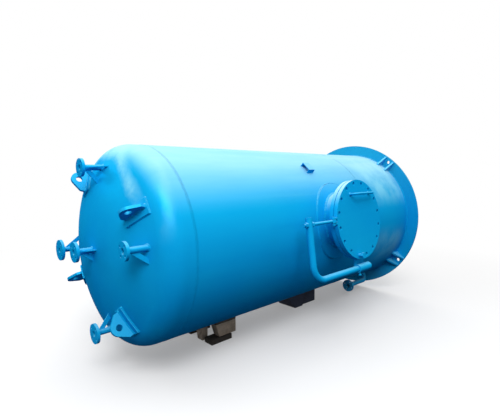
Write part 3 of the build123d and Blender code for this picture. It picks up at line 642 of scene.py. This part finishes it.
for way in (-1, 1):
    beside_sleeve = groove + way * GROOVE * SLEEVE_R * UP
    davit_beads.append(bead(beside_sleeve, way * UP, OUT, FITTING_WELD, closed=False))
welds("davit_welds", davit_beads)

about_bar = about_manway(HANDLE_R, 0.001)
cover_beads = []
for end in HANDLE_ENDS:
    foot = points(MANWAY_X + end, -COVER_FACE, HANDLE_HEIGHT) + HANDLE_R * about_bar
    cover_beads.append(bead(foot, about_bar, OUT, HANDLE_WELD))
for k, face in enumerate(EAR_FACES):
    z = EAR_MIDDLE + face
    along_rim = -np.linspace(COVER_BACK, COVER_FACE, 10)
    foot = points(MANWAY_X - math.sqrt(FLANGE_R**2 - z**2), along_rim, z)
    cover_beads.append(bead(foot, UP if k % 2 else -UP, -ALONG, EAR_WELD, closed=False))
welds("cover_welds", cover_beads, "davit")

THREAD_PITCH, THREAD_RIDGE, THREAD_POINTS, EYE_BOLT_R = 0.0025, 0.0011, 20, 0.01
THREAD_START, NUT_GAP = 0.002, 0.001
bolt_low, nut_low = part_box("eye_bolt")[0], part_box("eye_bolt_nuts")[0]
bolt_at = points(bolt_low[0] - HEAD_SEAM + THREAD_START, -DAVIT_PLANE, EAR_MIDDLE)
turns = (nut_low[0] - bolt_low[0] - THREAD_START - NUT_GAP) / THREAD_PITCH
t = np.linspace(0.0, 2 * math.pi * turns, round(THREAD_POINTS * turns))
radial = points(0.0, np.cos(t), np.sin(t))
helix = bolt_at + points(THREAD_PITCH * t / (2 * math.pi), 0.0, 0.0) + EYE_BOLT_R * radial
welds("eye_bolt_thread", [bead(helix, ALONG, radial, THREAD_RIDGE, closed=False, butt=True)], "davit")

# Nozzles and drain, of steel pipe: each nozzle is welded to the head, and to its flange behind it and
# inside its bore. The drain has the same flange beads, and one where it comes out through the skirt.
CROWN_R, KNUCKLE_R, STRAIGHT = 1.23, 0.132, 0.06
NOZZLE_R, NOZZLE_CIRCLE_R, TOP_NOZZLE_TURN = 0.01685, 0.473, 2.2
OUTER_RISE, CENTRE_RISE, SMALL_FLANGE, SETBACK = 0.129, 0.1025, 0.016, 0.004
NOZZLE_WELD, BORE_WELD, PIPE_STEP = 0.005, 0.003, 0.002
DRAIN_R, DRAIN_AXIS_R, DRAIN_ANGLE, DRAIN_OUTLET_X, DRAIN_FACE_X = 0.0212, 0.682, -76.2, 2.3, 1.985
CROWN_AT = math.sqrt((CROWN_R - KNUCKLE_R) ** 2 - (SHELL_R - KNUCKLE_R) ** 2) - STRAIGHT
CROWN = CROWN_AT * ALONG


def head_x(radius):
    """Where the dished head's crown is along the vessel, at a distance from its axis."""
    return CROWN_AT - np.sqrt(CROWN_R**2 - radius**2)


def polar(radius, degrees):
    """A point square to the axis at an angle that is 0 at the manway's side and 90 at the top."""
    turn = math.radians(degrees)
    return np.array([0.0, -radius * math.cos(turn), radius * math.sin(turn)])


def flange_beads(place, face, radius):
    """Beads behind a small flange, and inside its bore round the pipe's end."""
    about_pipe = about_vessel(radius, PIPE_STEP)
    ring = place + radius * about_pipe
    back = bead(ring + (face + SMALL_FLANGE) * ALONG, about_pipe, ALONG, NOZZLE_WELD)
    return [back, bead(ring + (face + SETBACK) * ALONG, -about_pipe, -ALONG, BORE_WELD)]


nozzle_beads = []
outer = [polar(NOZZLE_CIRCLE_R, angle) for angle in (0, 90 - TOP_NOZZLE_TURN, 180, 270)]
for place in [np.zeros(3), *outer]:
    about_pipe = about_vessel(NOZZLE_R, PIPE_STEP)
    foot = place + NOZZLE_R * about_pipe
    foot = foot + head_x(np.linalg.norm(foot, axis=-1))[:, None] * ALONG
    normal = unit(foot - CROWN)
    nozzle_beads.append(bead(foot, in_surface(about_pipe, normal), -ALONG, NOZZLE_WELD))
    face = head_x(NOZZLE_CIRCLE_R) - OUTER_RISE if place.any() else head_x(0.0) - CENTRE_RISE
    nozzle_beads += flange_beads(place, float(face), NOZZLE_R)
welds("nozzle_welds", nozzle_beads)

drain_beads = flange_beads(polar(DRAIN_AXIS_R, DRAIN_ANGLE), DRAIN_FACE_X, DRAIN_R)
turn = math.radians(DRAIN_ANGLE)
to_drain = np.array([[1, 0, 0], [0, math.cos(turn), math.sin(turn)], [0, -math.sin(turn), math.cos(turn)]])
outlet, outlet_away, _ = saddle(DRAIN_OUTLET_X, DRAIN_R, SHELL_R)
drain_beads.append(bead(outlet @ to_drain.T, outlet_away @ to_drain.T, to_drain @ OUT, NOZZLE_WELD))
welds("drain_welds", drain_beads)

# Lifting lugs: four eye plates, each on a pad that is curved to the head. A bead runs round the pad's
# edge and another round the plate's foot. The bent plate on the shell's upper side has four short ones.
LUGS, LUG_ANGLE, LUG_FOOT_R, LUG_HALF, LUG_HALF_THICKNESS = 4, 23.9, 0.449, 0.075, 0.008
PAD_HALF, PAD_HALF_WIDTH, LUG_PAD_RISE = 0.0825, 0.045, 0.01
LUG_WELD, PAD_EDGE_WELD, SMALL_CORNER = 0.006, 0.006, 0.003
PLATE_X, PLATE_ANGLE, PLATE_HALF, PLATE_SKINS, PLATE_WELD = 1.155, 41.3, 0.0335, (0.036, 0.04), 0.004


def oblong(half_long, half_wide, corner):
    """Round a rectangle with round corners: points, and the directions square to its outline there.

    Each quarter is centre + corner x way, and a straight run leads from its end to the next quarter.
    """
    centres = np.array([(1, 1), (-1, 1), (-1, -1), (1, -1)]) * (half_long - corner, half_wide - corner)
    spots, ways = [], []
    for quarter, (here, ahead) in enumerate(zip(centres, np.roll(centres, -1, 0))):
        turn = np.linspace(quarter, quarter + 1, 7) * math.pi / 2
        way = np.stack([np.cos(turn), np.sin(turn)], -1)
        bend = here + corner * way
        side_length = 2 * (half_wide if quarter % 2 else half_long)
        count = max(2, round(side_length / BEAD_STEP))
        share = np.linspace(0.0, 1.0, count, endpoint=False)[1:, None]
        spots += [bend, bend[-1] + share * (ahead - here)]
        ways += [way, np.broadcast_to(way[-1], (count - 1, 2))]
    return np.concatenate(spots), np.concatenate(ways)


lug_beads = []
for lug in range(LUGS):
    spoke = polar(1.0, LUG_ANGLE + 360 * lug / LUGS)
    foot = LUG_FOOT_R * spoke + head_x(LUG_FOOT_R) * ALONG
    out = unit(foot - CROWN)
    beside = np.cross(spoke, ALONG)
    down = np.cross(beside, out)
    for half_long, half_wide, rise, leg in [
        (PAD_HALF, PAD_HALF_WIDTH, 0.0, PAD_EDGE_WELD),
        (LUG_HALF, LUG_HALF_THICKNESS, LUG_PAD_RISE, LUG_WELD),
    ]:
        spots, ways = oblong(half_long, half_wide, SMALL_CORNER)
        height = np.sqrt((CROWN_R + rise) ** 2 - (spots**2).sum(-1))
        path = CROWN + spots[:, :1] * down + spots[:, 1:] * beside + height[:, None] * out
        normal = unit(path - CROWN)
        away = in_surface(ways[:, :1] * down + ways[:, 1:] * beside, normal)
        lug_beads.append(bead(path, away, out, leg))
welds("lug_welds", lug_beads)

plate_beads = []
spoke = polar(1.0, PLATE_ANGLE)
beside = np.cross(spoke, ALONG)
run = np.linspace(-PLATE_HALF, PLATE_HALF, 18)[:, None]
for side in (-1, 1):
    for skin, face in zip(PLATE_SKINS, (-1, 1)):
        foot = PLATE_X * ALONG + side * skin * beside + math.sqrt(SHELL_R**2 - skin**2) * spoke
        plate_beads.append(bead(foot + run * ALONG, side * face * beside, spoke, PLATE_WELD, closed=False))
welds("plate_welds", plate_beads)
